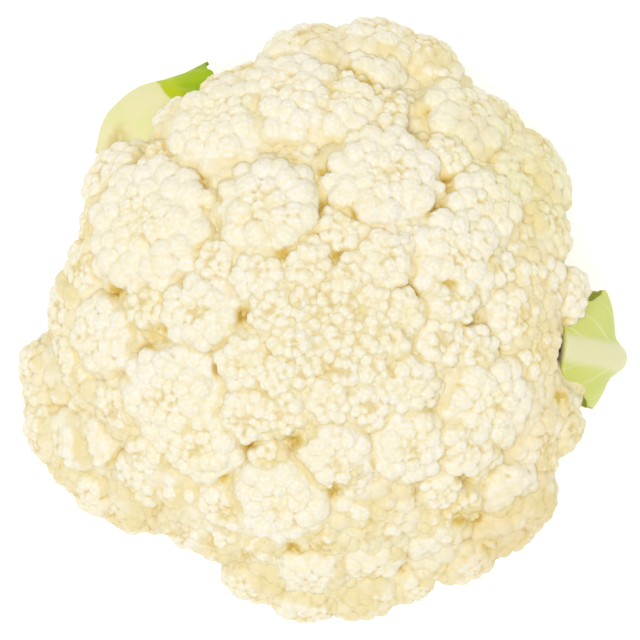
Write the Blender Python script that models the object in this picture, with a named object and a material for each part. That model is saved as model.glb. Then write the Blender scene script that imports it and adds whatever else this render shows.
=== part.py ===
"""A trimmed head of cauliflower, standing on its cut stalk with the curd up.

The origin is the middle of the stalk's cut face and +Z is up. Seen straight from
above, +X is to the right and +Y is the far side of the head. Sizes are in
millimetres until a mesh is made.
"""
import math
from typing import NamedTuple

import bmesh
import bpy
import numpy as np

MM = 0.001
GOLDEN_ANGLE = math.pi * (3.0 - math.sqrt(5.0))

# Driving dimensions
HEAD_CENTRE_Z = 56.0
DOME_RADIUS = 82.0
DOME_RISE = 63.0
UNDERSIDE_Z = 33.0
UNDERSIDE_SLOPE = 0.2
FLARE_RADIUS = 50.0
STALK_RADIUS = 25.0
PIECE_GAP = 0.4

# Main florets as seen from above, chosen by hand: x, y and radius
CROWN = [
    (5, -3, 4), (-4, 6, 3), (2, 6, 3), (7, 4, 2.5), (14, 5, 3.5), (-5, 2, 2.5),
    (0, 2, 2.5), (-3, -2, 2.5), (-10, -5, 4), (15, -2, 3.5), (9, -1, 2.5), (-5, -6, 3),
    (-1, -7, 2.5), (7, -10, 2.5), (12, -7, 3), (19, -6, 4.5), (1, -12, 3),
    (6, -14, 3.5), (14, -12, 4), (19, -14, 2.5), (-5, -14, 3.5), (-11, -15, 5), (22, 2, 5),
]
SHOULDER = [
    (-16, 12, 7), (-3, 15, 7), (7, 12, 5.5), (17, 17, 8), (-13, 2, 5.5), (6, 24, 6),
    (24, 22, 4), (-20, -11, 7), (-19, -25, 7.5), (-10, -24, 6), (2, -21, 6), (13, -22, 6),
    (23, -17, 7.5), (32, -6, 6), (-28, 16, 5), (-31, 2, 9.5),
]
FLANK = [
    (-25, 49, 13.5), (-8, 56, 13.5), (5, 55, 10.5), (-13, 28, 12.5), (-42, 23, 16.5),
    (-46, 4, 6), (16, 35, 14), (34, 16, 12), (34, 6, 7.5), (42, 29, 10), (47, 14, 5),
    (51, 1, 8), (41, -8, 6), (42, -21, 12), (38, -32, 9), (23, -32, 9.5), (4, -35, 9),
    (8, -42, 5), (32, -45, 5.5), (-10, -45, 12), (-14, -37, 5), (-37, -19, 13),
    (-30, -32, 9.5), (-56, -4, 9.5), (11, 61, 5), (19, 58, 4.5), (19, 53, 4),
    (37, 52, 11.5), (34, 44, 5.5),
]
RIM = [
    (-3, 73, 11.5), (16, 75, 10.5), (30, 73, 8.5), (33, 65, 10), (50, 56, 9),
    (59, 42, 13.5), (64, 26, 9), (58, 10, 11), (58, -8, 10.5), (71.5, 7.5, 7), (59, -32, 10),
    (69, -31, 6.5), (61, -41, 7.5), (54, -53, 13), (40, -51, 5.5), (41, -65, 10),
    (15, -53, 13.5), (32, -55, 6), (15, -63, 8.5), (0, -61, 8.5), (24, -72, 8),
    (11, -76, 9), (-4, -77, 8.5), (-17, -72, 9.5), (-25, -51, 9.5), (-29, -61, 10),
    (-41, -48, 12.5), (-37, -56, 8), (-48, -37, 6), (-55, -52, 8), (-63, -45, 9.5),
    (-69, -38, 8.5), (-75, -31, 8.5), (-65, -34, 8.5), (-79, -13, 6.5), (-78, -21, 5.5),
    (-65, -18, 12), (-55, -24, 8), (-68, 2, 10.5), (-65, 15, 8.5), (-62, 28, 7),
    (-58, 39, 9.5), (-40, 57, 7), (-44, 46, 4), (-27, 66, 6), (-20, 70, 5),
]
# Florets that lie behind the leaves: x, y, height and radius
BEHIND_LEAVES = [(69, -5, 64, 9), (66, -19, 71, 9), (-51, 49, 52, 10), (-41, 58, 54, 9)]


class Leaf(NamedTuple):
    """A leaf, or the cut base of one, from its root on the stalk to its tip.

    path is its inner face as (distance from the stalk's axis, height). The lists
    of half widths, rib thicknesses and rib shares run along it. tip_round is the
    share of its length that its tip's corners are rounded off by, and curl is how
    far its side edges stand out from the path.
    """
    name: str
    bearing: float
    turn: float
    path: list
    half_width: list
    rib: list
    rib_share: list
    rib_place: float
    tip_round: float
    wave: float
    wave_count: float
    curl: float
    cells_across: int
    cells_along: int


ROOT_EASE = 0.4
LEAF_ROOT = STALK_RADIUS + PIECE_GAP + ROOT_EASE
BLADE = 0.9
LEAF_RIGHT = Leaf(
    "leaf_right", -6.5, 1.0,
    [(LEAF_ROOT, 13.0), (33.0, 13.0), (46.0, 18.0), (61.0, 25.0), (74.0, 34.0),
     (81.5, 46.0), (82.0, 59.0), (77.0, 71.0), (67.5, 82.0)],
    [14.5, 12.0, 12.0, 14.0, 16.0, 17.0, 17.0, 13.0, 9.5],
    [7.0, 6.5, 6.0, 5.0, 4.5, 4.2, 4.0, 2.6, 1.8],
    [1.0, 0.95, 0.8, 0.55, 0.38, 0.27, 0.24, 0.3, 0.42],
    -0.12, 0.05, 0.6, 2.5, -2.2, 14, 26)
LEAF_LEFT = Leaf(
    "leaf_left", 129.0, -1.0,
    [(LEAF_ROOT, 13.0), (33.0, 13.0), (46.0, 18.0), (60.0, 25.0), (70.0, 34.0),
     (77.5, 45.0), (77.5, 58.0), (66.0, 71.0)],
    [15.0, 14.0, 14.0, 16.0, 18.0, 19.0, 19.5, 18.0],
    [8.0, 7.5, 7.0, 6.5, 6.0, 5.0, 4.5, 3.5],
    [1.0, 1.0, 0.95, 0.9, 0.8, 0.7, 0.65, 0.6],
    0.3, 0.1, 1.0, 2.0, -0.5, 14, 22)
BASE_BEARINGS = [59.0, 190.0, 241.0, 293.0]
BASE_HALF_WIDTHS = [13.0, 10.3, 10.3, 10.3]
BASE_LENGTHS = [1.0, 0.75, 0.9, 0.8]
BASE_TURN = 4.0
BASE_ROOT_Z = 13.0
BASE_BEND = (31.0, 13.2)
BASE_MIDDLE = (8.0, 0.3, 3.0)
BASE_END = (14.0, 0.8, 8.0)
BASE_TAPER = [1.0, 0.95, 0.88, 0.8]
BASE_RIB = [7.5, 7.0, 6.3, 5.8]
BASE_RIB_SHARE = [1.1, 1.1, 1.05, 1.0]
BASE_TIP_ROUND = 0.08
BASE_WAVE = 0.8
BASE_WAVE_COUNT = 0.5
BASE_CURL = 0.8


def smooth(points, shares):
    """Points on a smooth curve through the given ones, at shares from 0 to 1."""
    knots = np.asarray(points, dtype=float)
    if knots.ndim == 1:
        knots = knots[:, None]
    padded = np.vstack([2 * knots[0] - knots[1], knots, 2 * knots[-1] - knots[-2]])
    place = np.clip(shares, 0.0, 1.0) * (len(knots) - 1)
    index = np.minimum(place.astype(int), len(knots) - 2)
    f = (place - index)[:, None]
    a, b, c, d = (padded[index + k] for k in range(4))
    return 0.5 * (2 * b + (c - a) * f + (2 * a - 5 * b + 4 * c - d) * f ** 2
                  + (3 * b - a - 3 * c + d) * f ** 3)


def from_polar(bearing, radius, height):
    """World points from a bearing in radians, a distance from the axis and a height."""
    return np.column_stack([radius * np.cos(bearing), radius * np.sin(bearing), height])


# Leaves: a thick rib that thins into a blade, wrapped round the head

RIB_SIDE_POWER = 3
WAVE_START = 0.35
WAVE_LEAD = 1.5
WAVE_FADE_START = 0.2
WAVE_FADE_END = 0.53
TIP_ROUND_POWER = 4
SLOPE_STEP = 0.002


def leaf_faces(leaf, s, t):
    """Inner and outer points of a leaf at s along it and t across it, -1 to 1."""
    s = s * (1.0 - leaf.tip_round * np.abs(t) ** TIP_ROUND_POWER)
    point = smooth(leaf.path, s)
    ahead = smooth(leaf.path, np.minimum(s + SLOPE_STEP, 1.0))
    behind = smooth(leaf.path, np.maximum(s - SLOPE_STEP, 0.0))
    slope = ahead - behind
    slope /= np.linalg.norm(slope, axis=1)[:, None]
    outward = np.column_stack([slope[:, 1], -slope[:, 0]])
    half_width = smooth(leaf.half_width, s)[:, 0]
    share = smooth(leaf.rib_share, s)[:, 0]
    side = np.abs((t - leaf.rib_place) / share)
    thickness = BLADE + smooth(leaf.rib, s)[:, 0] * np.exp(-side ** RIB_SIDE_POWER)
    edge = np.clip((np.abs(t) - WAVE_START) / (1 - WAVE_START), 0, 1) ** 2
    swing = 2 * math.pi * leaf.wave_count * s + WAVE_LEAD * np.sign(t)
    fade = (s - WAVE_FADE_START) / (WAVE_FADE_END - WAVE_FADE_START)
    ripple = leaf.wave * edge * np.sin(swing) * np.clip(fade, 0.0, 1.0)
    inner = point + outward * (ripple + leaf.curl * edge)[:, None]
    outer = inner + outward * thickness[:, None]
    bearing = math.radians(leaf.bearing) + math.radians(leaf.turn) * s ** 2
    bearing = bearing + t * half_width / point[:, 0]
    return (from_polar(bearing, inner[:, 0], inner[:, 1]),
            from_polar(bearing, outer[:, 0], outer[:, 1]))


def leaf_bases():
    """The cut bases of the leaves that were trimmed away, between the two that stay."""
    for number, bearing in enumerate(BASE_BEARINGS):
        length = BASE_LENGTHS[number]
        path = [(LEAF_ROOT, BASE_ROOT_Z), BASE_BEND]
        for out, lift, rise in (BASE_MIDDLE, BASE_END):
            path.append((BASE_BEND[0] + out * length, BASE_BEND[1] + lift + rise * length))
        half_width = [BASE_HALF_WIDTHS[number] * share for share in BASE_TAPER]
        yield Leaf("leaf_base_%d" % (number + 1), bearing, BASE_TURN, path, half_width,
                   BASE_RIB, BASE_RIB_SHARE, 0.0, BASE_TIP_ROUND, BASE_WAVE,
                   BASE_WAVE_COUNT, BASE_CURL, 8, 7)


def leaf_solid(leaf):
    """A closed leaf: a flat sheet, given a second side and wrapped into place."""
    bm = bmesh.new()
    bmesh.ops.create_grid(bm, x_segments=leaf.cells_across, y_segments=leaf.cells_along, size=1.0)
    bmesh.ops.triangulate(bm, faces=bm.faces[:])
    raised = bmesh.ops.extrude_face_region(bm, geom=bm.faces[:])
    for item in raised["geom"]:
        if isinstance(item, bmesh.types.BMVert):
            item.co.z = 1.0
    flat = np.array([vert.co for vert in bm.verts])
    inner, outer = leaf_faces(leaf, (flat[:, 1] + 1) / 2, flat[:, 0])
    places = np.where(flat[:, 2:] > 0.5, outer, inner) * MM
    for vert, place in zip(bm.verts, places):
        vert.co = place
    bmesh.ops.triangulate(bm, faces=bm.faces[:])
    bmesh.ops.recalc_face_normals(bm, faces=bm.faces[:])
    return bm


# The curd: one white body of florets, each covered in smaller ones

CURD_TRIANGLES = 10000
CURD_CUTS = 74
CORE_DEPTHS = [(0, 3.0), (14, 3.5), (25, 6.0), (40, 9.0), (180, 9.0)]
FLORET_SINK = 0.8
RIM_SHARE = 0.955
FLORET_BASE = 0.87
BUMP_SHARE = 0.38
BUMP_SPACING = 0.9
BUMP_SIZES = (0.88, 1.14)
SPIRAL_SIDE = (0.0, 0.6, 0.8)
SMALLEST_WITH_BUMPS = 5.5
BUMP_SPREAD = math.radians(112)
SIDE_SHARE = 0.55
SIDE_DROP = 0.95
SIDE_INSET = 0.985
SIDE_SIZE = 0.97
FILL_COUNT = 150
FILL_RADIUS = 8.0
FILL_SIZES = (0.85, 1.15)
FILL_SINK = 11.0
FILL_LEVELS = (0.86, -0.12)
FILL_INSET = 1.0
UNDER_COUNT = 28
UNDER_ROWS = [(48.0, 2.0, 10.5), (39.5, 10.0, 9.0)]
UNDER_SIZES = (0.85, 1.1)
UNDER_SWING = 0.3
UNDER_HEIGHTS = (-2.0, 2.0)
UNDERSIDE_FALL = 0.05
UNDERSIDE_MARGIN = 4.0
FAR_AWAY = 1000.0
LEAF_BED_START = 0.3
LEAF_BED_ROWS = 40
LEAF_BED_COLUMNS = 24
LEAF_BED_GAP = 1.3
LEAF_BED_MARGIN = math.radians(4)
LEAF_BED_SLOPE = 2.2
SEED = 7


def outline_reach(bearing):
    """How far the florets seen from above reach from the axis at a bearing."""
    reach = 0.0
    for x, y, radius in FLANK + RIM:
        nearest = x * math.cos(bearing) + y * math.sin(bearing)
        inside = nearest ** 2 - x * x - y * y + radius ** 2
        if nearest > 0 and inside > 0:
            reach = max(reach, nearest + math.sqrt(inside))
    return reach


def main_florets(rng):
    """Centre, from the middle of the head, and radius of every main floret."""
    florets = []
    for x, y, radius in CROWN + SHOULDER + FLANK + RIM:
        across = DOME_RADIUS - FLORET_SINK * radius
        rise = DOME_RISE - FLORET_SINK * radius
        share = min(math.hypot(x, y) / across, RIM_SHARE)
        centre = np.array([x, y, rise * math.sqrt(1 - share ** 2)])
        florets.append((centre, radius))
        if share > SIDE_SHARE:
            lower = centre * [SIDE_INSET, SIDE_INSET, 1.0] - [0.0, 0.0, SIDE_DROP * radius]
            florets.append((lower, SIDE_SIZE * radius))
    for x, y, height, radius in BEHIND_LEAVES:
        florets.append((np.array([x, y, height - HEAD_CENTRE_Z]), radius))
    for number in range(FILL_COUNT):
        bearing = number * GOLDEN_ANGLE
        radius = FILL_RADIUS * rng.uniform(*FILL_SIZES)
        share = (number + 0.5) / FILL_COUNT
        level = FILL_LEVELS[0] + share * (FILL_LEVELS[1] - FILL_LEVELS[0])
        flat = math.sqrt(1 - level ** 2)
        length = 1 / math.hypot(flat / DOME_RADIUS, level / DOME_RISE) - FILL_SINK
        reach = min(flat * length, outline_reach(bearing) - radius - FILL_INSET)
        florets.append((from_polar(bearing, np.array([reach]), level * length)[0], radius))
    for height, inset, size in UNDER_ROWS:
        for number in range(UNDER_COUNT):
            place = number + rng.uniform(-UNDER_SWING, UNDER_SWING)
            bearing = 2 * math.pi * place / UNDER_COUNT
            radius = size * rng.uniform(*UNDER_SIZES)
            reach = np.array([outline_reach(bearing) - radius - inset])
            level = height - HEAD_CENTRE_Z + rng.uniform(*UNDER_HEIGHTS)
            florets.append((from_polar(bearing, reach, level)[0], radius))
    return florets


def bumps_on(centre, radius, rng):
    """Small florets over the outer side of a main one, spaced by the golden angle."""
    bump = BUMP_SHARE * radius
    shell = radius - bump
    outward = centre / np.linalg.norm(centre)
    sideways = np.cross(outward, SPIRAL_SIDE)
    sideways /= np.linalg.norm(sideways)
    upward = np.cross(outward, sideways)
    covered = 2 * (1 - math.cos(BUMP_SPREAD)) * shell ** 2
    count = round(covered / (BUMP_SPACING * bump) ** 2)
    start = rng.uniform(0, 2 * math.pi)
    for number in range(count):
        level = 1 - (number + 0.5) / count * (1 - math.cos(BUMP_SPREAD))
        ring = math.sqrt(1 - level ** 2)
        turn = start + number * GOLDEN_ANGLE
        direction = (outward * level
                     + ring * (sideways * math.cos(turn) + upward * math.sin(turn)))
        yield centre + direction * shell, bump * rng.uniform(*BUMP_SIZES)


def curd_reach(directions):
    """How far the curd reaches from the middle of the head in each direction."""
    rng = np.random.default_rng(SEED)
    tilt = np.degrees(np.arccos(directions[:, 2]))
    depth = np.interp(tilt, *zip(*CORE_DEPTHS))
    dome = np.array([DOME_RADIUS, DOME_RADIUS, DOME_RISE])
    reach = 1 / np.linalg.norm(directions / dome, axis=1) - depth
    level = np.linalg.norm(directions[:, :2], axis=1)
    falling = UNDERSIDE_SLOPE * level - directions[:, 2]
    underside = np.where(falling > UNDERSIDE_FALL, (HEAD_CENTRE_Z - UNDERSIDE_Z)
                         / np.maximum(falling, UNDERSIDE_FALL), FAR_AWAY)
    reach = np.minimum(reach, underside)
    spheres = []
    for centre, radius in main_florets(rng):
        if radius < SMALLEST_WITH_BUMPS:
            spheres.append((centre, radius))
            continue
        spheres.append((centre, radius * FLORET_BASE))
        spheres.extend(bumps_on(centre, radius, rng))
    for centre, radius in spheres:
        nearest = directions @ centre
        inside = nearest ** 2 - centre @ centre + radius ** 2
        met = (inside > 0) & (nearest > 0)
        reach[met] = np.maximum(reach[met], nearest[met] + np.sqrt(inside[met]))
    over_flare = ((directions[:, 2] < 0)
                  & (underside * level < FLARE_RADIUS + UNDERSIDE_MARGIN))
    reach[over_flare] = underside[over_flare]
    return np.minimum(reach, leaf_bed(directions))


def leaf_bed(directions):
    """The furthest that the curd may reach where a leaf lies against it."""
    limit = np.full(len(directions), FAR_AWAY)
    s, t = np.meshgrid(np.linspace(LEAF_BED_START, 1, LEAF_BED_ROWS),
                       np.linspace(-1, 1, LEAF_BED_COLUMNS))
    for leaf in (LEAF_RIGHT, LEAF_LEFT):
        inner, _ = leaf_faces(leaf, s.ravel(), t.ravel())
        inner = inner - [0, 0, HEAD_CENTRE_Z]
        lengths = np.linalg.norm(inner, axis=1)
        for point, length in zip(inner, lengths):
            angle = np.arccos(np.clip(directions @ point / length, -1, 1))
            rise = np.maximum(angle - LEAF_BED_MARGIN, 0) * length * LEAF_BED_SLOPE
            limit = np.minimum(limit, length - LEAF_BED_GAP + rise)
    return limit


def curd_solid():
    """The curd: a cube's surface rounded out to the florets' outer reach."""
    bm = bmesh.new()
    bmesh.ops.create_cube(bm, size=2.0)
    bmesh.ops.subdivide_edges(bm, edges=bm.edges[:], cuts=CURD_CUTS, use_grid_fill=True)
    corners = np.array([vert.co for vert in bm.verts])
    rounded = np.tan(corners * math.pi / 4)
    directions = rounded / np.linalg.norm(rounded, axis=1)[:, None]
    places = directions * curd_reach(directions)[:, None] + [0, 0, HEAD_CENTRE_Z]
    for vert, place in zip(bm.verts, places * MM):
        vert.co = place
    bmesh.ops.triangulate(bm, faces=bm.faces[:])
    return bm


# The stalk: a cut stem that flares into branches under the curd

STALK_SEGMENTS = 54
BRANCHES = 9
BRANCH_HEIGHT = 4.5
BRANCH_START_Z = 15.0
BRANCH_FULL_Z = 24.0
BRANCH_END_Z = 36.0
BRANCH_END_SHARE = 0.45
TOP_RINGS = (1.0, 0.6, 0.3)
STALK_PROFILE = [
    (STALK_RADIUS - 1.2, 0.0), (STALK_RADIUS, 1.2), (25.1, 8.0), (25.3, 14.0),
    (27.0, 18.5), (30.5, 23.5), (36.0, 28.5), (42.5, 33.0), (48.0, 37.0),
    (FLARE_RADIUS, 40.5),
]


def stalk_solid():
    """The stalk: a ball's rings moved to the stem's profile, with ridges for branches."""
    top_z = UNDERSIDE_Z - PIECE_GAP
    profile = list(STALK_PROFILE)
    for share in TOP_RINGS:
        radius = FLARE_RADIUS * share
        profile.append((radius, top_z + UNDERSIDE_SLOPE * radius))
    rings = len(profile)
    bm = bmesh.new()
    bmesh.ops.create_uvsphere(bm, u_segments=STALK_SEGMENTS, v_segments=rings + 1, radius=1.0)
    for vert in bm.verts:
        ring = round((1 - math.acos(max(-1.0, min(1.0, vert.co.z))) / math.pi) * (rings + 1))
        bearing = math.atan2(vert.co.y, vert.co.x)
        if ring == 0:
            radius, height = 0.0, 0.0
        elif ring == rings + 1:
            radius, height = 0.0, top_z
        else:
            radius, height = profile[ring - 1]
        risen = (height - BRANCH_START_Z) / (BRANCH_FULL_Z - BRANCH_START_Z)
        risen = max(0.0, min(1.0, risen)) * (ring <= len(STALK_PROFILE))
        drop = BRANCH_HEIGHT * risen * (0.5 + 0.5 * math.cos(BRANCHES * bearing))
        if height > BRANCH_END_Z:
            drop *= BRANCH_END_SHARE
        vert.co = (radius * math.cos(bearing) * MM, radius * math.sin(bearing) * MM,
                   (height - drop) * MM)
    bmesh.ops.triangulate(bm, faces=bm.faces[:])
    return bm


def make_material(name, colour, roughness):
    """A plain Principled material in one colour."""
    material = bpy.data.materials.new(name)
    material.use_nodes = True
    shader = material.node_tree.nodes["Principled BSDF"]
    shader.inputs["Base Color"].default_value = (*colour, 1.0)
    shader.inputs["Roughness"].default_value = roughness
    shader.inputs["Metallic"].default_value = 0.0
    return material


def add_object(name, bm, material, collection):
    """One named object for a finished piece."""
    mesh = bpy.data.meshes.new(name)
    bm.to_mesh(mesh)
    bm.free()
    mesh.materials.append(material)
    piece = bpy.data.objects.new(name, mesh)
    collection.objects.link(piece)
    return piece


def main():
    """Build the whole head."""
    for leftover in list(bpy.data.objects):
        bpy.data.objects.remove(leftover, do_unlink=True)
    collection = bpy.data.collections.new("cauliflower")
    bpy.context.scene.collection.children.link(collection)

    curd_white = make_material("curd_white", (0.90, 0.83, 0.65), 0.6)
    stalk_cream = make_material("stalk_cream", (0.72, 0.74, 0.46), 0.5)
    leaf_green = make_material("leaf_green", (0.42, 0.55, 0.10), 0.45)

    curd = add_object("curd", curd_solid(), curd_white, collection)
    thin = curd.modifiers.new("fewer_triangles", "DECIMATE")
    thin.ratio = CURD_TRIANGLES / len(curd.data.polygons)
    add_object("stalk", stalk_solid(), stalk_cream, collection)
    for leaf in (LEAF_LEFT, LEAF_RIGHT):
        add_object(leaf.name, leaf_solid(leaf), leaf_green, collection)
    for leaf in leaf_bases():
        add_object(leaf.name, leaf_solid(leaf), stalk_cream, collection)


main()
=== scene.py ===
"""Looks for the trimmed head of cauliflower: its curd, stalk, leaves and cut leaf bases.

Sizes in a section are in millimetres and are turned into metres as a mesh is made.
"""
import math

import bpy
import numpy as np
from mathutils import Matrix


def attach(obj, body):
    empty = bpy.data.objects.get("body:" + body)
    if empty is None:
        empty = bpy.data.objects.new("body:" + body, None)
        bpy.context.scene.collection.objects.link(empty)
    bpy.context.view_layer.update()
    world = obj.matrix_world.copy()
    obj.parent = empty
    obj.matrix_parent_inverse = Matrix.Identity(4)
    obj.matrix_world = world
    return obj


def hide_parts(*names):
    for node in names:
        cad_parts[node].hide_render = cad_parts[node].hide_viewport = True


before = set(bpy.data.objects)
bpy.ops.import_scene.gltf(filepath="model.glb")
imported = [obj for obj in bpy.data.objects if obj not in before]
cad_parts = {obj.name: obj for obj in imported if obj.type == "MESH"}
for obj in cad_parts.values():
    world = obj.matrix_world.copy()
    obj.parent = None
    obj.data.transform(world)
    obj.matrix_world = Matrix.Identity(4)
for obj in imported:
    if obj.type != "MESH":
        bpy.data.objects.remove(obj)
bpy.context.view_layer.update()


# The floor and the light: a white sweep and an even light all round, as in a light
# tent, with one broad soft light from straight above.
FLOOR_SIZE = 6.0
FLOOR_WHITE = (0.93, 0.93, 0.93, 1)
FLOOR_GLOW = 0.3
TENT_LIGHT = 0.64
TOP_LIGHT = 1.5
TOP_LIGHT_SPREAD = 24
TOP_LIGHT_LEAN = 5
bpy.ops.mesh.primitive_plane_add(size=FLOOR_SIZE, location=(0, 0, 0))
floor = bpy.context.object
floor.name = "floor"
floor_white = bpy.data.materials.new("floor_white")
floor_white.use_nodes = True
floor_shader = floor_white.node_tree.nodes["Principled BSDF"]
floor_shader.inputs["Base Color"].default_value = FLOOR_WHITE
floor_shader.inputs["Roughness"].default_value = 0.9
floor_shader.inputs["Emission Color"].default_value = (1, 1, 1, 1)
floor_shader.inputs["Emission Strength"].default_value = FLOOR_GLOW
floor.data.materials.append(floor_white)

world = bpy.data.worlds.new("light_tent")
world.use_nodes = True
world.node_tree.nodes["Background"].inputs["Color"].default_value = (1.0, 1.0, 1.0, 1)
world.node_tree.nodes["Background"].inputs["Strength"].default_value = TENT_LIGHT
bpy.context.scene.world = world
soft_top = bpy.data.lights.new("soft_top", "SUN")
soft_top.energy = TOP_LIGHT
soft_top.angle = math.radians(TOP_LIGHT_SPREAD)
soft_top_object = bpy.data.objects.new("soft_top", soft_top)
soft_top_object.rotation_euler = (math.radians(TOP_LIGHT_LEAN), math.radians(-TOP_LIGHT_LEAN), 0)
bpy.context.scene.collection.objects.link(soft_top_object)
bpy.context.scene.view_settings.view_transform = "Standard"


# The camera looks straight down on the head through a long lens, with the far side
# of the head at the top of the picture. Sizes are in millimetres.
MM = 0.001
PICTURE_WIDTH = 180.2
FOCUS_Z = 62.0
LENS = 300.0
SENSOR = 36.0
camera_data = bpy.data.cameras.new("camera")
camera_data.lens = LENS
camera_data.sensor_width = SENSOR
camera_data.clip_end = 20.0
camera = bpy.data.objects.new("camera", camera_data)
camera.location = (0, 0, (FOCUS_Z + PICTURE_WIDTH * LENS / SENSOR) * MM)
bpy.context.scene.collection.objects.link(camera)
bpy.context.scene.camera = camera


# Leaves: two outer leaves that were left on. Each is one blade that grows from the
# stalk on a thick rib, wraps up the side of the head and is tucked in at its rim.
class Socket:
    """A node's output, which reads as a plain value in an expression."""

    def __init__(self, finish, output):
        self.finish = finish
        self.output = output

    def maths(self, operation, first, second):
        return self.finish.node("ShaderNodeMath", {"operation": operation},
                                {0: first, 1: second})

    def __add__(self, other):
        return self.maths("ADD", self, other)

    def __radd__(self, other):
        return self.maths("ADD", other, self)

    def __mul__(self, other):
        return self.maths("MULTIPLY", self, other)

    def __rmul__(self, other):
        return self.maths("MULTIPLY", other, self)


class Finish:
    """A material built from nodes."""

    def __init__(self, name):
        self.material = bpy.data.materials.new(name)
        self.material.use_nodes = True
        self.tree = self.material.node_tree
        self.principled = self.tree.nodes["Principled BSDF"]

    def fill(self, node, sockets):
        for key, value in sockets.items():
            if isinstance(value, Socket):
                self.tree.links.new(value.output, node.inputs[key])
            else:
                node.inputs[key].default_value = value

    def node(self, kind, settings, sockets, output=0):
        node = self.tree.nodes.new(kind)
        for key, value in settings.items():
            setattr(node, key, value)
        self.fill(node, sockets)
        return Socket(self, node.outputs[output])

    def place(self):
        return self.node("ShaderNodeTexCoord", {}, {}, "Object")

    def attribute(self, name):
        return self.node("ShaderNodeAttribute", {"attribute_name": name}, {}, "Fac")

    def noise(self, scale, detail=2.0):
        return self.node("ShaderNodeTexNoise", {},
                         {"Vector": self.place(), "Scale": scale, "Detail": detail}, "Fac")

    def between(self, value, low, high, start=0.0, end=1.0):
        """Runs smoothly from start to end as a value goes from low to high."""
        return self.node("ShaderNodeMapRange", {"interpolation_type": "SMOOTHSTEP"},
                         {"Value": value, "From Min": low, "From Max": high,
                          "To Min": start, "To Max": end})

    def mix(self, factor, first, second):
        """One colour laid over another."""
        colours = [shade if isinstance(shade, Socket) else (*shade, 1.0)
                   for shade in (first, second)]
        return self.node("ShaderNodeMix", {"data_type": "RGBA"},
                         {0: factor, 6: colours[0], 7: colours[1]}, 2)

    def near(self, x, y, z, radius, soft):
        """1 within a distance of a place, fading to 0."""
        gap = self.node("ShaderNodeVectorMath", {"operation": "DISTANCE"},
                        {0: self.place(), 1: (x * MM, y * MM, z * MM)}, "Value")
        return self.between(gap, (radius - soft) * MM, (radius + soft) * MM, 1.0, 0.0)


def from_polar(bearing, radius, height):
    return np.column_stack([radius * np.cos(bearing), radius * np.sin(bearing), height])


def smooth(points, shares):
    """Points on a smooth curve through the given ones, at shares from 0 to 1."""
    knots = np.asarray(points, dtype=float).reshape(len(points), -1)
    padded = np.vstack([2 * knots[0] - knots[1], knots, 2 * knots[-1] - knots[-2]])
    place = np.clip(shares, 0.0, 1.0) * (len(knots) - 1)
    index = np.minimum(place.astype(int), len(knots) - 2)
    f = (place - index)[:, None]
    a, b, c, d = (padded[index + k] for k in range(4))
    return 0.5 * (2 * b + (c - a) * f + (2 * a - 5 * b + 4 * c - d) * f ** 2
                  + (3 * b - a - 3 * c + d) * f ** 3)


def values_on(mesh, name, values):
    """A named value at each of a mesh's points, for its material to read."""
    attribute = mesh.attributes.new(name, "FLOAT", "POINT")
    attribute.data.foreach_set("value", np.asarray(values, dtype=np.float32))


def points_of(mesh):
    places = np.empty(len(mesh.vertices) * 3, dtype=np.float32)
    mesh.vertices.foreach_get("co", places)
    return places.reshape(-1, 3).astype(float)


LEAF_ROOT = 25.8
BLADE = 0.9
LEAF_RIGHT = {
    "name": "leaf_right", "bearing": -6.5, "turn": 1.0,
    "path": [(LEAF_ROOT, 13), (33, 13), (46, 18), (61, 25), (74, 34), (81.5, 46), (82, 59),
             (77, 71), (67.5, 82)],
    "half_width": [14.5, 12, 12, 14, 16, 17, 17, 13, 9.5],
    "rib": [7, 6.5, 6, 5, 4.5, 4.2, 4, 2.6, 1.8],
    "rib_share": [1, 0.95, 0.8, 0.55, 0.38, 0.27, 0.24, 0.3, 0.42],
    "rib_place": -0.12, "tip_round": 0.05, "wave": 0.6, "wave_count": 2.5, "curl": -2.2,
    "frill": 0.15, "cells": (120, 260)}
LEAF_LEFT = {
    "name": "leaf_left", "bearing": 129.0, "turn": -1.0,
    "path": [(LEAF_ROOT, 13), (33, 13), (46, 18), (60, 25), (70, 34), (77.5, 45),
             (77.5, 58), (66, 71)],
    "half_width": [15, 14, 14, 16, 18, 19, 19.5, 18],
    "rib": [8, 7.5, 7, 6.5, 6, 5, 4.5, 3.5],
    "rib_share": [1, 1, 0.95, 0.9, 0.8, 0.7, 0.65, 0.6],
    "rib_place": 0.3, "tip_round": 0.1, "wave": 1.0, "wave_count": 2.0, "curl": -0.5,
    "frill": 0.4, "cells": (120, 220)}
RIB_SIDE_POWER = 3
WAVE_START = 0.35
WAVE_LEAD = 1.5
WAVE_RISE = 3
WAVE_FOOT = 0.6
FRILL_WAVES = ((41, 1), (67, 0), (113, 2))
FRILL_POWER = 6
SLOPE_STEP = 0.002
TIP_ROUND_POWER = 4
VEIN_COUNT = 9
VEIN_LEAN = 0.16
VEIN_HEIGHT = 0.35
VEIN_EDGE = 0.76
VEIN_SOFTNESS = 0.2
VEIN_SHARPNESS = 1.5
VEIN_END = 1.1


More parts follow.
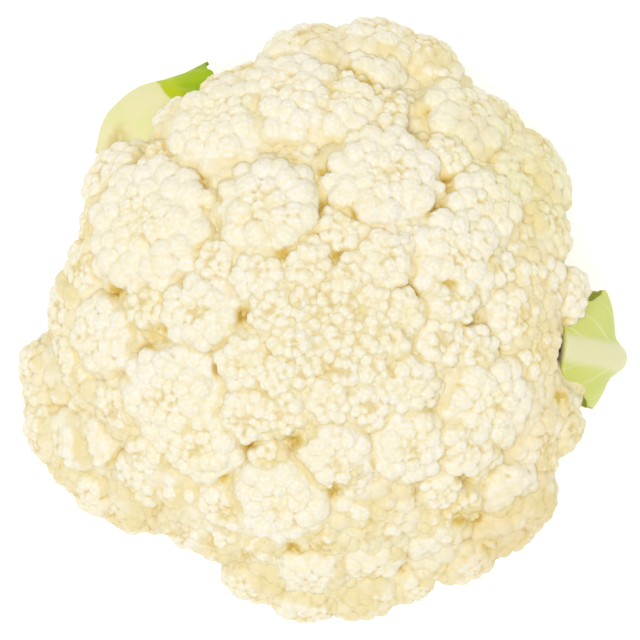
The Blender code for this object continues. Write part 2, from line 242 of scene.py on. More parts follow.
def leaf_values(leaf, s, t):
    """Inner and outer points of a leaf, with how much of rib and vein there is."""
    s = s * (1.0 - leaf["tip_round"] * np.abs(t) ** TIP_ROUND_POWER)
    point = smooth(leaf["path"], s)
    ahead = smooth(leaf["path"], np.minimum(s + SLOPE_STEP, 1.0))
    slope = ahead - smooth(leaf["path"], np.maximum(s - SLOPE_STEP, 0.0))
    slope /= np.linalg.norm(slope, axis=1)[:, None]
    outward = np.column_stack([slope[:, 1], -slope[:, 0]])
    half_width = smooth(leaf["half_width"], s)[:, 0]
    side = np.abs((t - leaf["rib_place"]) / smooth(leaf["rib_share"], s)[:, 0])
    rib = np.exp(-side ** RIB_SIDE_POWER)
    along = s - VEIN_LEAN * np.abs(t - leaf["rib_place"])
    comb = np.abs((along * VEIN_COUNT) % 1.0 - 0.5) * 2
    vein = np.clip((comb - VEIN_EDGE) / VEIN_SOFTNESS, 0, 1) ** VEIN_SHARPNESS * (1 - rib)
    vein *= np.clip(VEIN_END - np.abs(t), 0, 1)
    thickness = BLADE + smooth(leaf["rib"], s)[:, 0] * rib + VEIN_HEIGHT * vein
    edge = np.clip((np.abs(t) - WAVE_START) / (1 - WAVE_START), 0, 1) ** 2
    turns = 2 * math.pi * leaf["wave_count"] * s
    ripple = leaf["wave"] * edge * np.sin(turns + WAVE_LEAD * np.sign(t))
    ripple *= np.clip(s * WAVE_RISE - WAVE_FOOT, 0.0, 1.0)
    inner = point + outward * (ripple + leaf["curl"] * edge)[:, None]
    outer = inner + outward * thickness[:, None]
    bearing = math.radians(leaf["bearing"]) + math.radians(leaf["turn"]) * s ** 2
    frill = sum(np.sin(pace * s + start) for pace, start in FRILL_WAVES)
    half_width = half_width + leaf["frill"] * frill * t ** FRILL_POWER
    bearing = bearing + t * half_width / point[:, 0]
    return (from_polar(bearing, inner[:, 0], inner[:, 1]),
            from_polar(bearing, outer[:, 0], outer[:, 1]), rib, vein)


def leaf_piece(leaf, finish):
    """A leaf: a flat sheet, given a second side and wrapped into place."""
    bpy.ops.object.select_all(action="DESELECT")
    across, along = leaf["cells"]
    bpy.ops.mesh.primitive_grid_add(x_subdivisions=across, y_subdivisions=along, size=2.0,
                                    location=(0, 0, 0))
    piece = bpy.context.object
    piece.name = leaf["name"] + "_blade"
    thick = piece.modifiers.new("second_side", "SOLIDIFY")
    thick.thickness = 1.0
    thick.offset = 1.0
    bpy.ops.object.modifier_apply(modifier=thick.name)
    flat = points_of(piece.data)
    s = (flat[:, 1] + 1) / 2
    inner, outer, rib, vein = leaf_values(leaf, s, flat[:, 0])
    places = np.where(flat[:, 2:] > 0.5, outer, inner) * MM
    piece.data.vertices.foreach_set("co", places.ravel())
    for name, values in (("rib", rib), ("vein", vein), ("along", s), ("across", flat[:, 0])):
        values_on(piece.data, name, values)
    bpy.ops.object.mode_set(mode="EDIT")
    bpy.ops.mesh.select_all(action="SELECT")
    bpy.ops.mesh.normals_make_consistent(inside=False)
    bpy.ops.object.mode_set(mode="OBJECT")
    piece.data.shade_smooth()
    piece.data.materials.append(finish.material)
    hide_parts(leaf["name"])
    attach(piece, "root")
    return piece


RIB_CREAM = (0.76, 0.74, 0.42)
WING_GREEN = (0.58, 0.64, 0.12)
WING_PALE = (0.70, 0.72, 0.24)
VEIN_PALE = (0.78, 0.79, 0.40)
right = Finish("leaf_right_skin")
right_colour = right.mix(right.between(right.noise(70.0), 0.3, 0.7, 0.0, 0.5), WING_GREEN,
                         WING_PALE)
right_colour = right.mix(right.attribute("vein") * 0.8, right_colour, VEIN_PALE)
right_colour = right.mix(right.between(right.attribute("rib"), 0.1, 0.8), right_colour, RIB_CREAM)
right_bump = right.node("ShaderNodeBump", {},
                        {"Strength": 0.25, "Distance": 0.0004, "Height": right.noise(500.0, 4.0)},
                        "Normal")
right.fill(right.principled, {
    "Base Color": right_colour, "Normal": right_bump, "Roughness": 0.5,
    "Specular IOR Level": 0.3, "Subsurface Weight": 0.2,
    "Subsurface Radius": (0.8, 1.0, 0.3), "Subsurface Scale": 0.002})
leaf_piece(LEAF_RIGHT, right)

LEAF_CREAM = (0.83, 0.77, 0.43)
LIME = (0.50, 0.58, 0.005)
STAIN = (0.60, 0.42, 0.10)
LEAF_PALE = (0.78, 0.77, 0.36)
VEIN_GREEN = (0.5, 0.62, 0.16)
BRIGHT_GREEN = (0.37, 0.52, 0.001)
DARK_GREEN = (0.24, 0.39, 0.001)
left = Finish("leaf_left_skin")
side = left.attribute("across")
left_colour = left.mix(left.between(left.noise(90.0), 0.35, 0.65), BRIGHT_GREEN, DARK_GREEN)
left_colour = left.mix(left.attribute("vein") * 0.8, left_colour, VEIN_GREEN)
left_colour = left.mix(left.between(side, -0.62, -0.4), left_colour, LIME)
pale = left.mix(left.between(left.noise(110.0, 3.0), 0.35, 0.65), LEAF_CREAM, LEAF_PALE)
stained = left.near(-54.5, 50, 64, 4, 3) * left.between(left.noise(300.0), 0.3, 0.5)
pale = left.mix(stained, pale, STAIN)
ragged = side + left.noise(120.0, 4.0) * 0.16
left_colour = left.mix(left.between(ragged, -0.22, -0.17), left_colour, pale)
left.fill(left.principled, {
    "Base Color": left_colour, "Roughness": 0.55, "Specular IOR Level": 0.12,
    "Subsurface Weight": 0.1, "Subsurface Radius": (0.8, 1.0, 0.3), "Subsurface Scale": 0.002})
leaf_piece(LEAF_LEFT, left)


# Leaf bases: what is left of the leaves that were trimmed off, thick and pale, with
# their cut ends drying.
BASE_BEARINGS = [59.0, 190.0, 241.0, 293.0]
BASE_HALF_WIDTHS = [13.0, 10.3, 10.3, 10.3]
BASE_LENGTHS = [1.0, 0.75, 0.9, 0.8]
BASE_PALE = (0.74, 0.77, 0.50)
BASE_GREEN = (0.66, 0.70, 0.34)
BASE_DRIED = (0.62, 0.55, 0.30)
base = Finish("leaf_base_skin")
base_colour = base.mix(base.between(base.noise(120.0), 0.35, 0.7), BASE_PALE, BASE_GREEN)
base_colour = base.mix(base.between(base.attribute("along"), 0.96, 1.0), base_colour,
                       BASE_DRIED)
base.fill(base.principled, {"Base Color": base_colour, "Roughness": 0.5,
                            "Specular IOR Level": 0.3})
for number, bearing in enumerate(BASE_BEARINGS):
    width = BASE_HALF_WIDTHS[number]
    length = BASE_LENGTHS[number]
    leaf_piece({
        "name": "leaf_base_%d" % (number + 1), "bearing": bearing, "turn": 4.0,
        "path": [(LEAF_ROOT, 13.0), (31.0, 13.2), (31.0 + 8 * length, 13.5 + 3 * length),
                 (31.0 + 14 * length, 14.0 + 8 * length)],
        "half_width": [width, width * 0.95, width * 0.88, width * 0.8],
        "rib": [7.5, 7.0, 6.3, 5.8], "rib_share": [1.1, 1.1, 1.05, 1.0],
        "rib_place": 0.0, "tip_round": 0.08, "wave": 0.8, "wave_count": 0.5, "curl": 0.8,
        "frill": 0.1, "cells": (60, 60)}, base)


# The stalk: a thick pale stem, cut flat across to stand on, that splits under the
# curd into branches.
STALK_PROFILE = [
    (23.8, 0.0), (25.0, 1.2), (25.1, 8.0), (25.3, 14.0), (27.0, 18.5), (30.5, 23.5),
    (36.0, 28.5), (42.5, 33.0), (48.0, 37.0), (50.0, 40.5),
]
STALK_TOP_Z = 32.6
STALK_TOP_SLOPE = 0.2
STALK_SEGMENTS = 216
STALK_RINGS = 160
BRANCHES = 9
BRANCH_HEIGHT = 4.5
CUT_FACE_SHARE = 0.15
TOP_FACE_SHARE = 0.2
BRANCH_FOOT_Z = 15
BRANCH_FADE = 9
BRANCH_HIGH_Z = 36
BRANCH_HIGH_SHARE = 0.45
bpy.ops.object.select_all(action="DESELECT")
bpy.ops.mesh.primitive_uv_sphere_add(segments=STALK_SEGMENTS, ring_count=STALK_RINGS,
                                     radius=1.0, location=(0, 0, 0))
stalk = bpy.context.object
stalk.name = "stalk_stem"
places = points_of(stalk.data)
share = 1 - np.arccos(np.clip(places[:, 2], -1, 1)) / math.pi
bearing = np.arctan2(places[:, 1], places[:, 0])
side_share = np.clip((share - CUT_FACE_SHARE) / (1 - CUT_FACE_SHARE - TOP_FACE_SHARE), 0, 1)
profile = smooth(STALK_PROFILE, side_share)
radius = profile[:, 0] * np.clip(share / CUT_FACE_SHARE, 0, 1)
radius *= np.clip((1 - share) / TOP_FACE_SHARE, 0, 1)
height = profile[:, 1].copy()
on_top = share > 1 - TOP_FACE_SHARE
height[on_top] = STALK_TOP_Z + STALK_TOP_SLOPE * radius[on_top]
between = np.clip((height - BRANCH_FOOT_Z) / BRANCH_FADE, 0, 1) * ~on_top
drop = BRANCH_HEIGHT * between * (0.5 + 0.5 * np.cos(BRANCHES * bearing))
drop = np.where(height > BRANCH_HIGH_Z, drop * BRANCH_HIGH_SHARE, drop)
stalk.data.vertices.foreach_set("co", (from_polar(bearing, radius, height - drop) * MM).ravel())
stalk.data.shade_smooth()
STEM_PALE = (0.76, 0.78, 0.52)
STEM_GREEN = (0.70, 0.73, 0.40)
stem = Finish("stalk_skin")
stem_colour = stem.mix(stem.between(stem.noise(60.0), 0.35, 0.7), STEM_PALE, STEM_GREEN)
stem.fill(stem.principled, {"Base Color": stem_colour, "Roughness": 0.5,
                            "Specular IOR Level": 0.3})
stalk.data.materials.append(stem.material)
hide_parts("stalk")
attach(stalk, "root")


# The curd: white florets that grow out from the stalk. Each is crowded with smaller
# ones, and those with granules, all round golden-angle spirals.
GOLDEN_ANGLE = math.pi * (3.0 - math.sqrt(5.0))
rng = np.random.default_rng(41)
HEAD_MIDDLE_Z = 56.0
DOME_RADIUS = 82.0
DOME_RISE = 63.0
CROWN = [
    (5, -3, 4), (-4, 6, 3), (2, 6, 3), (7, 4, 2.5), (14, 5, 3.5), (-5, 2, 2.5),
    (0, 2, 2.5), (-3, -2, 2.5), (-10, -5, 4), (15, -2, 3.5), (9, -1, 2.5), (-5, -6, 3),
    (-1, -7, 2.5), (7, -10, 2.5), (12, -7, 3), (19, -6, 4.5), (1, -12, 3),
    (6, -14, 3.5), (14, -12, 4), (19, -14, 2.5), (-5, -14, 3.5), (-11, -15, 5), (22, 2, 5),
]
SHOULDER = [
    (-16, 12, 7), (-3, 15, 7), (7, 12, 5.5), (17, 17, 8), (-13, 2, 5.5), (6, 24, 6),
    (24, 22, 4), (-20, -11, 7), (-19, -25, 7.5), (-10, -24, 6), (2, -21, 6), (13, -22, 6),
    (23, -17, 7.5), (32, -6, 6), (-28, 16, 5), (-31, 2, 9.5),
]
FLANK = [
    (-25, 49, 13.5), (-8, 56, 13.5), (5, 55, 10.5), (-13, 28, 12.5), (-42, 23, 16.5),
    (-46, 4, 6), (16, 35, 14), (34, 16, 12), (34, 6, 7.5), (42, 29, 10), (47, 14, 5),
    (51, 1, 8), (41, -8, 6), (42, -21, 12), (38, -32, 9), (23, -32, 9.5), (4, -35, 9),
    (8, -42, 5), (32, -45, 5.5), (-10, -45, 12), (-14, -37, 5), (-37, -19, 13),
    (-30, -32, 9.5), (-56, -4, 9.5), (11, 61, 5), (19, 58, 4.5), (19, 53, 4),
    (37, 52, 11.5), (34, 44, 5.5),
]
RIM = [
    (-2.6, 73.2, 11.2), (16, 75, 11), (29.5, 72.5, 8), (32.5, 64, 10), (48.5, 54.5, 8.2),
    (57.5, 40.5, 13), (62, 25.5, 8.5), (58, 10, 11), (57, -7, 10.5), (70.3, 6.6, 6.7),
    (59, -32, 10), (68, -30.5, 6.5), (60, -40, 7), (53.2, -53, 12.5), (40, -51, 5.5),
    (41, -65.2, 9.3), (15, -53, 13.5), (32, -55, 6), (15, -63, 8.5), (0, -61, 8.5),
    (24, -72.5, 8), (11, -76.5, 9), (-4, -77.5, 8.5), (-17, -72, 9), (-25, -51, 9.5),
    (-29, -59, 9), (-41, -48, 12.5), (-37, -56, 8), (-48, -37, 6), (-54.5, -51.2, 8.2),
    (-62.9, -45, 9.2), (-69.5, -38.5, 8.5), (-75.5, -31, 8.5), (-65, -34, 8.5),
    (-78.3, -13.5, 6.8), (-78, -21, 6), (-65, -18, 12), (-55, -24, 8), (-67.6, 2.2, 10.3),
    (-63.2, 14.5, 8.3), (-60.8, 28, 6.8), (-57, 38.5, 9.8), (-38.8, 55.2, 7), (-44, 46, 4),
    (-27, 64, 5.5), (-20, 67.5, 4.5),
]
BEHIND_LEAVES = [(69, -5, 64, 9), (66, -19, 71, 9), (-51, 49, 52, 10), (-41, 58, 54, 9)]
FLORET_SINK = 0.8
RIM_SHARE = 0.955
CROWDING = 0.45
FINE_EDGE = 0.3
PLAIN_EDGE = 0.55
FILL_EDGE = 0.52
# A floret's breadth, flatness and squareness at the rim and higher up, by how far its
# axis rises
SHAPE_LEVELS = (0.1, 0.55)
BREADTH = (1.08, 1.4)
FLATNESS = (0.93, 0.8)
SQUARENESS = (2.3, 2.6)
SUB_PITCH = 0.5
SUB_PITCH_LEAST = 3.6
SUB_PITCH_MOST = 5.5
SUB_OVERLAP = 1.28
SUB_SPREAD = math.radians(120)
SUB_GAP = 0.5
FLOOR_LOW = 0.93
FLOOR_LIFT = 0.03
GRANULE = 2.1
GRANULE_OVERLAP = 1.6
GRANULE_SPREAD = math.radians(95)
GRANULE_GAP = 0.3
GRANULE_RELIEF = 0.4
SMALLEST_GROWTH = (1.55, 0.08)
SIDE_SHARE = 0.55
SIDE_DROP = 0.95
FILL_COUNT = 150
FILL_RADIUS = 8.0
FILL_SINK = 8.8
FILL_LEVELS = (0.98, -0.12)
UNDER_COUNT = 28
UNDER_ROWS = [(48.0, 2.0, 10.5, "under"), (39.5, 10.0, 9.0, "under"),
              (74.0, 1.5, 9.0, "between"), (81.0, 8.0, 9.0, "between")]
LEAF_BED_GAP = 0.6
LEAF_BED_SLOPE = 1.5
LEAF_BED_START = 0.3
LEAF_BED_STEPS = 80
RIM_SHIFT = 0.9
RIM_AHEAD = 0.6
DEEP_RANGE = 6.0
CREASE = 0.6
CREVICE = 5.0
# Small deep pits where florets meet, seen from above, listed: x and y
PITS = [
    (-51, 39), (-50, 42), (-33, 37.5), (-25, 34), (0.5, 31), (1.5, 41), (8, 69), (12.5, 65.5),
    (31, 57), (36, 59), (35, 37.5), (32, 29.5), (45, 19.5), (50.5, 26.5), (25.5, 7.5),
    (41.5, -0.5), (43, -4), (10.5, 29.5), (-10, 18.5), (5, 17.5), (-21, 1), (-42, -3.5),
    (-47.5, -8.5), (-28.5, -13), (-19, -35), (-27.5, -43), (-7, -33), (-8.5, -55), (-7.5, -64),
    (-4, -66.5), (3.5, -47), (32, -36.5), (40, -43), (35, -50), (39, -55.5), (43.5, -55.5),
    (47.5, -62.5), (54, -21.5), (67.5, -22), (76, -24.5), (-59, -38), (-36.5, 9), (-56.5, 8.5),
    (32.5, 20.5), (35.5, 18), (37, 15.5), (36.5, 13), (35.5, 11),
]
PIT_RADIUS = 2.6
PIT_DEPTH = 1.5
JUNCTION_WIDTH = 1.1
JUNCTION_DEPTH = 0.5
BALLS = {}


def outline_reach(bearing):
    """How far the florets seen from above reach from the axis at a bearing."""
    reach = 0.0
    for x, y, radius in FLANK + RIM:
        nearest = x * math.cos(bearing) + y * math.sin(bearing)
        inside = nearest ** 2 - x * x - y * y + radius ** 2
        if nearest > 0 and inside > 0:
            reach = max(reach, nearest + math.sqrt(inside))
    return reach


def ball(cuts):
    """A ball made from a cube, closer set at its front, and its unit directions."""
    if cuts not in BALLS:
        bpy.ops.object.select_all(action="DESELECT")
        bpy.ops.mesh.primitive_cube_add(size=2.0, location=(0, 0, 0))
        bpy.ops.object.mode_set(mode="EDIT")
        bpy.ops.mesh.subdivide(number_cuts=cuts)
        bpy.ops.object.mode_set(mode="OBJECT")
        cube = bpy.context.object
        places = np.tan(points_of(cube.data) * math.pi / 4)
        places /= np.linalg.norm(places, axis=1)[:, None]
        tilt = np.arccos(np.clip(places[:, 2], -1, 1))
        turned = tilt - CROWDING * np.sin(tilt)
        flat = np.sin(turned) / np.maximum(np.sin(tilt), 1e-6)
        mesh = cube.data.copy()
        bpy.data.objects.remove(cube, do_unlink=True)
        BALLS[cuts] = (mesh, np.column_stack([places[:, :2] * flat[:, None], np.cos(turned)]))
    return BALLS[cuts]


def turned_to(axis, spin):
    """A rotation that takes +Z to an axis, with a spin about it."""
    axis = axis / np.linalg.norm(axis)
    side = np.cross(axis, [0.36, 0.48, 0.8])
    side /= np.linalg.norm(side)
    first = side * math.cos(spin) + np.cross(axis, side) * math.sin(spin)
    return np.column_stack([first, np.cross(axis, first), axis])


def leading(directions, centres, radii):
    """How far the balls reach in each direction, and the leads over the next two."""
    directions = directions.astype(np.float32)
    centres = centres.astype(np.float32)
    radii = radii.astype(np.float32)
    nearest = directions @ centres.T
    inside = nearest ** 2 + (radii ** 2 - (centres ** 2).sum(1))
    reach = np.where(inside > 0, nearest + np.sqrt(np.maximum(inside, 0)), 0)
    rows = np.arange(len(directions))
    first = reach.argmax(1)
    best = reach[rows, first].astype(float)
    reach[rows, first] = 0
    first = reach.argmax(1)
    lead = best - reach[rows, first]
    reach[rows, first] = 0
    return best, lead, best - reach.max(1)


def bumps_on(centres, radii, axes, pitch, overlap, spread):
    """A crowd of bumps on each of some balls: centres, radii and outward axes."""
    found = ([], [], [])
    for centre, radius, axis in zip(centres, radii, axes):
        covered = 2 * math.pi * (1 - math.cos(spread)) * radius ** 2
        count = max(4, int(covered / (0.87 * pitch ** 2)))
        number = np.arange(count) + 0.5
        level = 1 - number / count * (1 - math.cos(spread))
        turn = number * GOLDEN_ANGLE
        ring = np.sqrt(1 - level ** 2)
        out = np.column_stack([ring * np.cos(turn), ring * np.sin(turn), level])
        out += rng.normal(0, 0.17 * pitch / radius, out.shape)
        out /= np.linalg.norm(out, axis=1)[:, None]
        out = out @ turned_to(axis, rng.uniform(0, 2 * math.pi)).T
        own = pitch / overlap * rng.uniform(0.8, 1.2, count)
        own = np.minimum(own, radius * 0.9)
        found[0].append(centre + out * (radius - own)[:, None])
        found[1].append(own)
        found[2].append(out)
    return np.vstack(found[0]), np.concatenate(found[1]), np.vstack(found[2])


def broad_reach(level, radius, shape):
    """How far a floret's broad flattened ball reaches, by the cosine from its axis."""
    breadth, flatness, squareness = shape
    across = np.sqrt(np.maximum(1 - level ** 2, 0)) / (breadth * radius)
    high = np.abs(level) / np.where(level > 0, flatness * radius, radius)
    return (across ** squareness + high ** squareness) ** (-1 / squareness)


def floret(centre, radius, shape, axis, edge):
    """One floret as its own piece: a broad flattened ball, marked in its small gaps and junctions
    where its material paints shade.
    """
    cuts = max(8, int(math.pi / 2 * radius * (1 - CROWDING) / edge))
    template, unit = ball(cuts)
    directions = unit @ turned_to(axis, rng.uniform(0, 2 * math.pi)).T
    level = directions @ axis
    base = broad_reach(level, radius, shape)
    pitch = min(max(SUB_PITCH * radius, SUB_PITCH_LEAST), SUB_PITCH_MOST)
    _, size, out = bumps_on(np.zeros((1, 3)), [radius], [axis], pitch, SUB_OVERLAP, SUB_SPREAD)
    under = broad_reach(out @ axis, radius, shape)
    subs = out * (under - size * rng.uniform(0.94, 1.05, len(under)))[:, None]
    reach, lead, corner = leading(directions, subs, size)
    reach = np.maximum(reach, base * (FLOOR_LOW + FLOOR_LIFT * np.clip(level * 2.5 - 1.3, 0, 1)))
    # The gap mask, where a sub-floret or granule meets the next, is where the curd's material
    # paints shade.
    gap = np.clip(1 - lead / SUB_GAP, 0, 1)
    # Where three sub-florets meet: dented here, and given painted shade in the material.
    junction_dent_and_shade = np.clip(1 - corner / JUNCTION_WIDTH, 0, 1)
    grains = bumps_on(subs, size, out, GRANULE, GRANULE_OVERLAP, GRANULE_SPREAD)
    fine, lead, _ = leading(directions, grains[0], grains[1])
    fine = np.maximum(fine, reach - GRANULE_RELIEF) - JUNCTION_DEPTH * junction_dent_and_shade
    low = np.clip((reach - fine) / GRANULE_RELIEF, 0, 1)
    gap = np.maximum(gap, np.clip(1 - lead / GRANULE_GAP, 0, 1) * (0.35 + 0.45 * low))
    mesh = template.copy()
    mesh.vertices.foreach_set("co", ((centre + directions * fine[:, None]) * MM).ravel())
    values_on(mesh, "gap", gap)
    values_on(mesh, "junction_dent_and_shade", junction_dent_and_shade)
    mesh.shade_smooth()
    piece = bpy.data.objects.new("floret", mesh)
    bpy.context.scene.collection.objects.link(piece)
    return piece


def crease_on(spots, place):
    """How near a floret's surface runs to its neighbours' surfaces."""
    crease = np.zeros(len(spots))
    apart = np.linalg.norm(hearts - hearts[place], axis=1)
    for other in np.flatnonzero((apart > 0) & (apart < BREADTH[1] * (sizes + sizes[place]) + 1)):
        beside = spots - hearts[other]
        length = np.linalg.norm(beside, axis=1)
        outside = length - broad_reach(beside @ axes[other] / length, sizes[other],
                                       shapes[other])
        crease = np.maximum(crease, np.clip(1 - outside / CREASE, 0, 1))
    return crease


def press_behind(leaf, spots):
    """Moves the points that lie in or past a leaf inward, to just behind it."""
    along = np.linspace(LEAF_BED_START, 1, LEAF_BED_STEPS)
    path = smooth(leaf["path"], along)
    half = smooth(leaf["half_width"], along)[:, 0]
    swing = math.radians(leaf["turn"]) * along ** 2
    flat = np.hypot(spots[:, 0], spots[:, 1])
    limit = np.interp(spots[:, 2], path[:, 1], path[:, 0]) - LEAF_BED_GAP
    middle = math.radians(leaf["bearing"]) + np.interp(spots[:, 2], path[:, 1], swing)
    away = np.arctan2(spots[:, 1], spots[:, 0]) - middle
    away = np.abs((away + math.pi) % (2 * math.pi) - math.pi) * flat
    clear = np.clip(away - np.interp(spots[:, 2], path[:, 1], half) - 1.0, 0, None)
    limit = limit + LEAF_BED_SLOPE * clear
    limit[spots[:, 2] > path[-1, 1]] = 1e3
    spots[:, :2] *= np.minimum(limit / np.maximum(flat, 1e-3), 1.0)[:, None]


def on_dome(x, y, radius):
    """A main floret's middle, and how far out on the head it sits."""
    across = DOME_RADIUS - FLORET_SINK * radius
    rise = DOME_RISE - FLORET_SINK * radius
    share = min(math.hypot(x, y) / across, RIM_SHARE)
    return np.array([x, y, HEAD_MIDDLE_Z + rise * math.sqrt(1 - share ** 2)]), share


HEAD_MIDDLE = np.array([0.0, 0.0, HEAD_MIDDLE_Z])
balls = []
for ring, places in (("crown", CROWN), ("shoulder", SHOULDER), ("flank", FLANK), ("rim", RIM)):
    for x, y, radius in places:
        if ring in ("crown", "shoulder"):
            radius = radius * max(1.0, SMALLEST_GROWTH[0] - SMALLEST_GROWTH[1] * radius)
        centre, share = on_dome(x, y, radius)
        balls.append((ring, centre, radius, FINE_EDGE))
        if share > SIDE_SHARE:
            lower = centre * [0.985, 0.985, 1.0] - [0.0, 0.0, SIDE_DROP * radius]
            balls.append(("side", lower, 0.97 * radius, PLAIN_EDGE))
for x, y, height, radius in BEHIND_LEAVES:
    balls.append(("side", np.array([x, y, height], dtype=float), radius, PLAIN_EDGE))
for number in range(FILL_COUNT):
    bearing = number * GOLDEN_ANGLE
    radius = FILL_RADIUS * rng.uniform(0.85, 1.15)
    share = (number + 0.5) / FILL_COUNT
    level = FILL_LEVELS[0] + share * (FILL_LEVELS[1] - FILL_LEVELS[0])
    flat = math.sqrt(1 - level ** 2)
    length = 1 / math.hypot(flat / DOME_RADIUS, level / DOME_RISE) - FILL_SINK
    reach = np.array([min(flat * length, outline_reach(bearing) - radius - 1.0)])
    balls.append(("between", from_polar(bearing, reach, HEAD_MIDDLE_Z + level * length)[0],
                  radius, FILL_EDGE))
for height, inset, size, ring in UNDER_ROWS:
    for number in range(UNDER_COUNT):
        bearing = 2 * math.pi * (number + rng.uniform(-0.3, 0.3)) / UNDER_COUNT
        radius = size * rng.uniform(0.85, 1.1)
        reach = np.array([outline_reach(bearing) - radius - inset])
        balls.append((ring, from_polar(bearing, reach, height + rng.uniform(-2, 2))[0],
                      radius, PLAIN_EDGE))

middles = np.array([centre for _, centre, _, _ in balls])
sizes = np.array([radius for _, _, radius, _ in balls])
PROBES = 90
number = np.arange(PROBES) + 0.5
probes = from_polar(number * GOLDEN_ANGLE, np.sqrt(1 - (1 - 2 * number / PROBES) ** 2),
                    1 - 2 * number / PROBES)
kept = []
for index, (ring, centre, radius, edge) in enumerate(balls):
    others = np.arange(len(balls)) != index
    spots = centre + probes * radius
    gaps = np.linalg.norm(spots[:, None] - middles[None, others], axis=2) - sizes[others]
    if (gaps.min(1) > -0.3).any():
        kept.append(index)
middles = middles[kept]
sizes = sizes[kept]
axes = (middles - HEAD_MIDDLE) * [1.0, 1.0, (DOME_RADIUS / DOME_RISE) ** 2]
axes /= np.linalg.norm(axes, axis=1)[:, None]
shapes = np.column_stack([np.interp(axes[:, 2], SHAPE_LEVELS, spread)
                          for spread in (BREADTH, FLATNESS, SQUARENESS)])
hearts = middles + axes * (sizes * (1 - shapes[:, 1]))[:, None]

SECTORS = {"crown": 1, "shoulder": 3, "flank": 8, "rim": 12, "side": 10, "between": 8, "under": 8}
groups = {}
pits = np.array(PITS)
for place, index in enumerate(kept):
    ring, centre, radius, edge = balls[index]
    piece = floret(hearts[place], radius, shapes[place], axes[place], edge)
    spots = points_of(piece.data) / MM
    if ring not in ("crown", "shoulder", "flank"):
        away = centre[:2] / np.hypot(*centre[:2])
        beside = spots[:, :2] - centre[:2]
        beyond = np.linalg.norm(beside, axis=1)
        ahead = beside @ away > RIM_AHEAD * beyond
        over = RIM_SHIFT * (beyond[ahead].max() - radius)
        hearts[place, :2] -= away * max(over, 0.0)
        spots[:, :2] -= away * max(over, 0.0)
    # Crease, deep and pit mark where florets meet, the valleys between them and the pits; the
    # curd's material paints shade in them.
    crease = crease_on(spots, place)
    values_on(piece.data, "crease", crease)
    for leaf in (LEAF_RIGHT, LEAF_LEFT):
        press_behind(leaf, spots)
    near = np.linalg.norm(middles - centre, axis=1) < sizes + radius + 2 * CREVICE
    out = spots - HEAD_MIDDLE
    length = np.linalg.norm(out, axis=1)
    hull, _, _ = leading(out / length[:, None], middles[near] - HEAD_MIDDLE,
                         sizes[near] + CREVICE)
    deep = np.clip((hull - CREVICE - length) / DEEP_RANGE, 0, 1)
    values_on(piece.data, "deep", deep)
    if ring not in ("under", "side"):
        apart = np.hypot(spots[:, None, 0] - pits[:, 0], spots[:, None, 1] - pits[:, 1])
        pit = np.exp(-(apart.min(1) / PIT_RADIUS) ** 2) * (spots[:, 2] > HEAD_MIDDLE_Z)
        pit *= np.maximum(crease, deep)
        values_on(piece.data, "pit", pit)
        spots -= out / length[:, None] * (pit * PIT_DEPTH)[:, None]
    piece.data.vertices.foreach_set("co", (spots * MM).ravel())
    piece.data.update()
    sector = int((math.atan2(centre[1], centre[0]) / (2 * math.pi) % 1.0) * SECTORS[ring])
    groups.setdefault("curd_%s_%02d" % (ring, sector + 1), []).append(piece)

CREAM = (0.90, 0.855, 0.70)
WARM_WHITE = (0.905, 0.87, 0.77)
# Painted shade: yellow, tan and amber laid into the gaps, creases, valleys, junctions and pits
# between florets and granules, where shade and warm bounced light gather.
GAP_SHADE_YELLOW = (0.83, 0.71, 0.33)
GAP_SHADE_TAN = (0.79, 0.65, 0.29)
GAP_SHADE_AMBER = (0.64, 0.44, 0.08)
BEIGE = (0.82, 0.72, 0.50)
YELLOW_GREEN = (0.68, 0.66, 0.16)
GREEN_TINT = (0.84, 0.83, 0.52)
BRUISE = (0.80, 0.66, 0.44)
curd = Finish("curd_granules")
colour = curd.mix(curd.between(curd.noise(60.0, 3.0), 0.35, 0.7), CREAM, WARM_WHITE)
green = curd.near(57, 45, 78, 25, 15) * curd.between(curd.noise(120.0), 0.3, 0.7, 0.2, 0.9)
colour = curd.mix(green, colour, GREEN_TINT)
bruised = curd.near(56, -57, 75, 17, 8) * curd.between(curd.noise(160.0), 0.25, 0.65, 0.3, 1.0)
colour = curd.mix(bruised, colour, BRUISE)
colour = curd.mix(curd.near(42, 52, 93, 6, 4) * 0.7, colour, BEIGE)
colour = curd.mix(curd.near(-65, -42, 80, 3, 2) * 0.8, colour, YELLOW_GREEN)
colour = curd.mix(curd.near(-43, 48, 84, 6, 4) * 0.35, colour, YELLOW_GREEN)
patchy = curd.between(curd.noise(110.0), 0.3, 0.7, 0.35, 1.0)
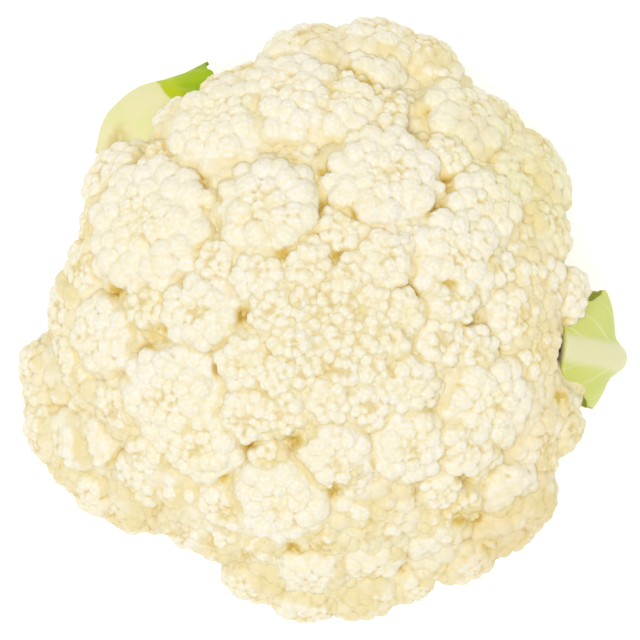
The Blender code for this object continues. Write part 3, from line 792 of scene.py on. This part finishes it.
# Painted shade along the gaps between sub-florets and granules.
colour = curd.mix(curd.attribute("gap") * patchy * 0.65, colour, GAP_SHADE_YELLOW)
deep = curd.attribute("deep")
# Painted shade in the valleys between florets and along the lines where they meet.
colour = curd.mix(curd.between(deep, 0.3, 0.95) * patchy * 0.4, colour, GAP_SHADE_TAN)
crease = curd.attribute("crease")
colour = curd.mix(curd.between(crease, 0.0, 0.9) * patchy * 0.7, colour, GAP_SHADE_TAN)
# Painted shade at the dented junctions of three sub-florets.
junction_dent_and_shade = curd.between(curd.attribute("junction_dent_and_shade"), 0.1, 0.8) * curd.between(curd.noise(170.0), 0.4, 0.6)
colour = curd.mix(junction_dent_and_shade * 0.5, colour, GAP_SHADE_AMBER)
# Darker painted shade in the deepest valleys and creases.
deepest_valley_shade = curd.between(deep + crease * 0.3, 0.7, 1.1) * curd.between(curd.noise(45.0), 0.4, 0.6)
colour = curd.mix(deepest_valley_shade * 0.7, colour, GAP_SHADE_AMBER)
# Painted shade in the listed pits: tan towards their rims, amber at their bottoms.
pit = curd.attribute("pit") * curd.between(curd.noise(400.0), 0.3, 0.55, 0.3, 1.0)
colour = curd.mix(curd.between(pit, 0.05, 0.45) * 0.9, colour, GAP_SHADE_TAN)
colour = curd.mix(curd.between(pit, 0.35, 0.8) * 0.9, colour, GAP_SHADE_AMBER)
tiny = curd.node("ShaderNodeTexVoronoi", {"feature": "SMOOTH_F1"},
                 {"Vector": curd.place(), "Scale": 700.0, "Smoothness": 0.3}, "Distance")
raised = curd.node("ShaderNodeBump", {"invert": True},
                   {"Strength": 0.4, "Distance": 0.0003, "Height": tiny}, "Normal")
# Painted shade in the small grooves between the tiny bumped grains.
colour = curd.mix(curd.between(tiny, 0.35, 0.7) * 0.25, colour, GAP_SHADE_YELLOW)
curd.fill(curd.principled, {
    "Base Color": colour, "Normal": raised, "Roughness": 0.62, "Specular IOR Level": 0.2,
    "Subsurface Weight": 0.15, "Subsurface Radius": (1.0, 0.9, 0.8),
    "Subsurface Scale": 0.001})
for name, pieces in groups.items():
    bpy.ops.object.select_all(action="DESELECT")
    for piece in pieces:
        piece.select_set(True)
    bpy.context.view_layer.objects.active = pieces[0]
    if len(pieces) > 1:
        bpy.ops.object.join()
    group = bpy.context.view_layer.objects.active
    group.name = name
    group.data.name = name
    group.data.materials.append(curd.material)
    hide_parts("curd")
    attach(group, "root")
for mesh, _ in BALLS.values():
    bpy.data.meshes.remove(mesh)
